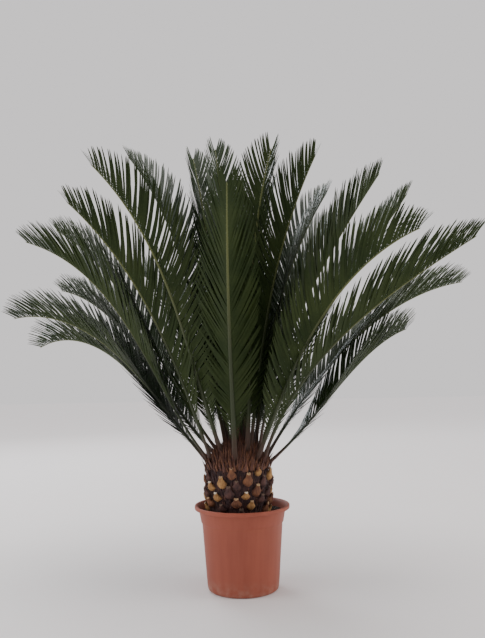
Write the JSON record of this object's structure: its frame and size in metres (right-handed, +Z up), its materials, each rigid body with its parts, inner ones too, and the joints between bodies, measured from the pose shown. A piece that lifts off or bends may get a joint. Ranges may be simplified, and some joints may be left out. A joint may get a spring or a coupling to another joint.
{
  "type": "potted sago palm",
  "caption": "Potted cycad with a squat scarred barrel trunk and a full crown of stiff arching feather fronds, in a tapered plastic nursery pot.",
  "frame": {"origin": "middle of the pot's flat underside", "axes": "+Z up along the pot's axis, +X to the plant's right as seen from its front, -Y towards the front"},
  "size_m": [1.3275, 1.0935, 1.1949],
  "materials": {
    "pot": "matte",
    "soil": "matte",
    "trunk": "matte",
    "bud": "matte",
    "frond": "satin"
  },
  "bodies": {
    "root": {"pot": "pot", "root_ball": "soil", "trunk": "trunk", "crown_bud": "bud", "frond_01": "frond", "frond_02": "frond", "frond_03": "frond", "frond_04": "frond", "frond_05": "frond", "frond_06": "frond", "frond_07": "frond", "frond_08": "frond", "frond_09": "frond", "frond_10": "frond", "frond_11": "frond", "frond_12": "frond", "frond_13": "frond", "frond_14": "frond", "frond_15": "frond", "frond_16": "frond", "frond_17": "frond", "frond_18": "frond", "frond_19": "frond", "frond_20": "frond", "frond_21": "frond", "frond_22": "frond", "frond_23": "frond", "frond_24": "frond", "frond_25": "frond", "frond_26": "frond", "frond_27": "frond", "frond_28": "frond"}
  },
  "joints": []
}
